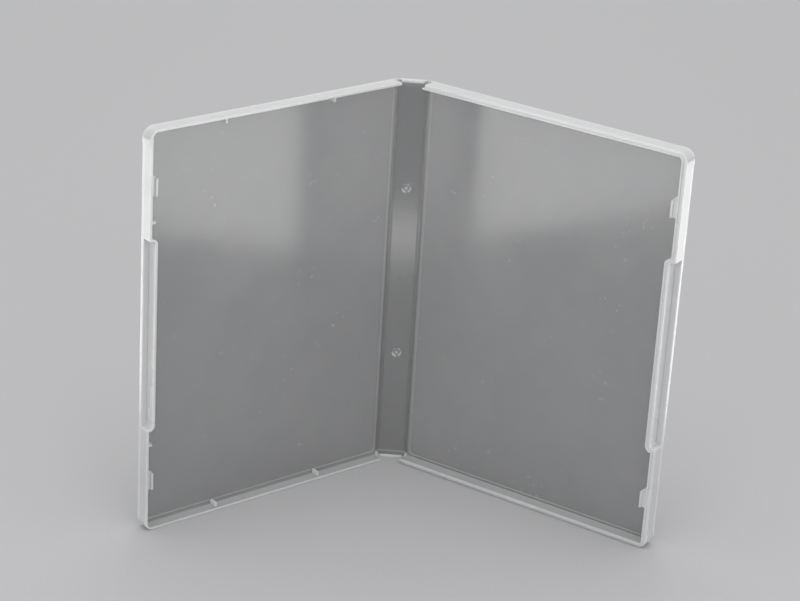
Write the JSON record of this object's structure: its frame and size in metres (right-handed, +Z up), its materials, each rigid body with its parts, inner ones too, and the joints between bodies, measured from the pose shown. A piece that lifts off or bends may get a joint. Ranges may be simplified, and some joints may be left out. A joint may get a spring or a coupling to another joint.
{
  "type": "hinged plastic media case",
  "caption": "Empty hinged media case in clear frosted plastic, standing open like a book: two walled covers with thumb recesses and snap catches, joined to a narrow spine by living hinges.",
  "frame": {"origin": "middle of the spine's foot, on the underside of its lower flange, at floor level", "axes": "+Z up along the spine, +Y out of the spine's back, +X towards the right cover; the covers open towards -Y"},
  "size_m": [0.232, 0.0932, 0.19],
  "materials": {
    "case_plastic": "clear frosted polypropylene with a soft gloss",
    "hinge_plastic": "the same polypropylene, thin and a little clearer"
  },
  "bodies": {
    "spine": {"spine": "case_plastic", "left_hinge_web": "hinge_plastic", "right_hinge_web": "hinge_plastic"},
    "left_cover": {"left_cover": "case_plastic"},
    "right_cover": {"right_cover": "case_plastic"}
  },
  "joints": [
    {"name": "left_hinge", "type": "hinge", "parent": "spine", "child": "left_cover", "pos_m": [-0.0072, 0.00105, 0.095], "axis": [0, 0, 1], "range_deg": [-41, 49], "deforming": ["left_hinge_web"]},
    {"name": "right_hinge", "type": "hinge", "parent": "spine", "child": "right_cover", "pos_m": [0.0072, 0.00105, 0.095], "axis": [0, 0, 1], "range_deg": [-60, 30], "deforming": ["right_hinge_web"]}
  ]
}
